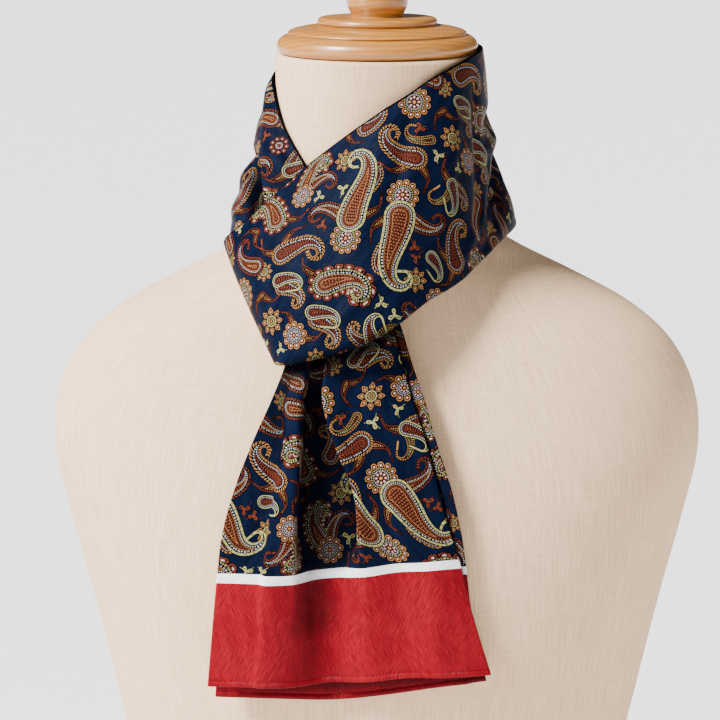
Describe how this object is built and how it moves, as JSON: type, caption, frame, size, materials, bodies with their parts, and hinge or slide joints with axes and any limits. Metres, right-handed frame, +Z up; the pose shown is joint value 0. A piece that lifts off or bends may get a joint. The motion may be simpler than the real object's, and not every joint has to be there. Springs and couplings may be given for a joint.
{
  "type": "ascot scarf on a dress form",
  "caption": "Paisley satin ascot scarf tied in a pulled-through loop, worn by a limbless dress form with a wooden neck cap.",
  "frame": {"origin": "middle of the dress form's flat base, on the axis of the neck", "axes": "+Z up along the neck, the front of the form faces -Y, +X to the viewer's right"},
  "size_m": [0.3988, 0.2527, 0.6919],
  "materials": {
    "linen": "plain cream linen, matt, fine upright weave",
    "turned_wood": "honey-coloured, varnished",
    "scarf_satin": "navy satin with a printed paisley pattern in cream, gold, rust and white",
    "scarf_tail_satin": "the same printed satin, ending in a white stripe and a red end"
  },
  "bodies": {
    "root": {"form_body": "linen", "neck_cap": "turned_wood", "scarf_left_strand": "scarf_satin", "scarf_neck_band": "scarf_satin", "scarf_front_panel": "scarf_satin", "scarf_loop_return": "scarf_satin", "scarf_left_fold": "scarf_satin", "scarf_front_tail": "scarf_tail_satin", "scarf_back_tail": "scarf_tail_satin"}
  },
  "joints": []
}
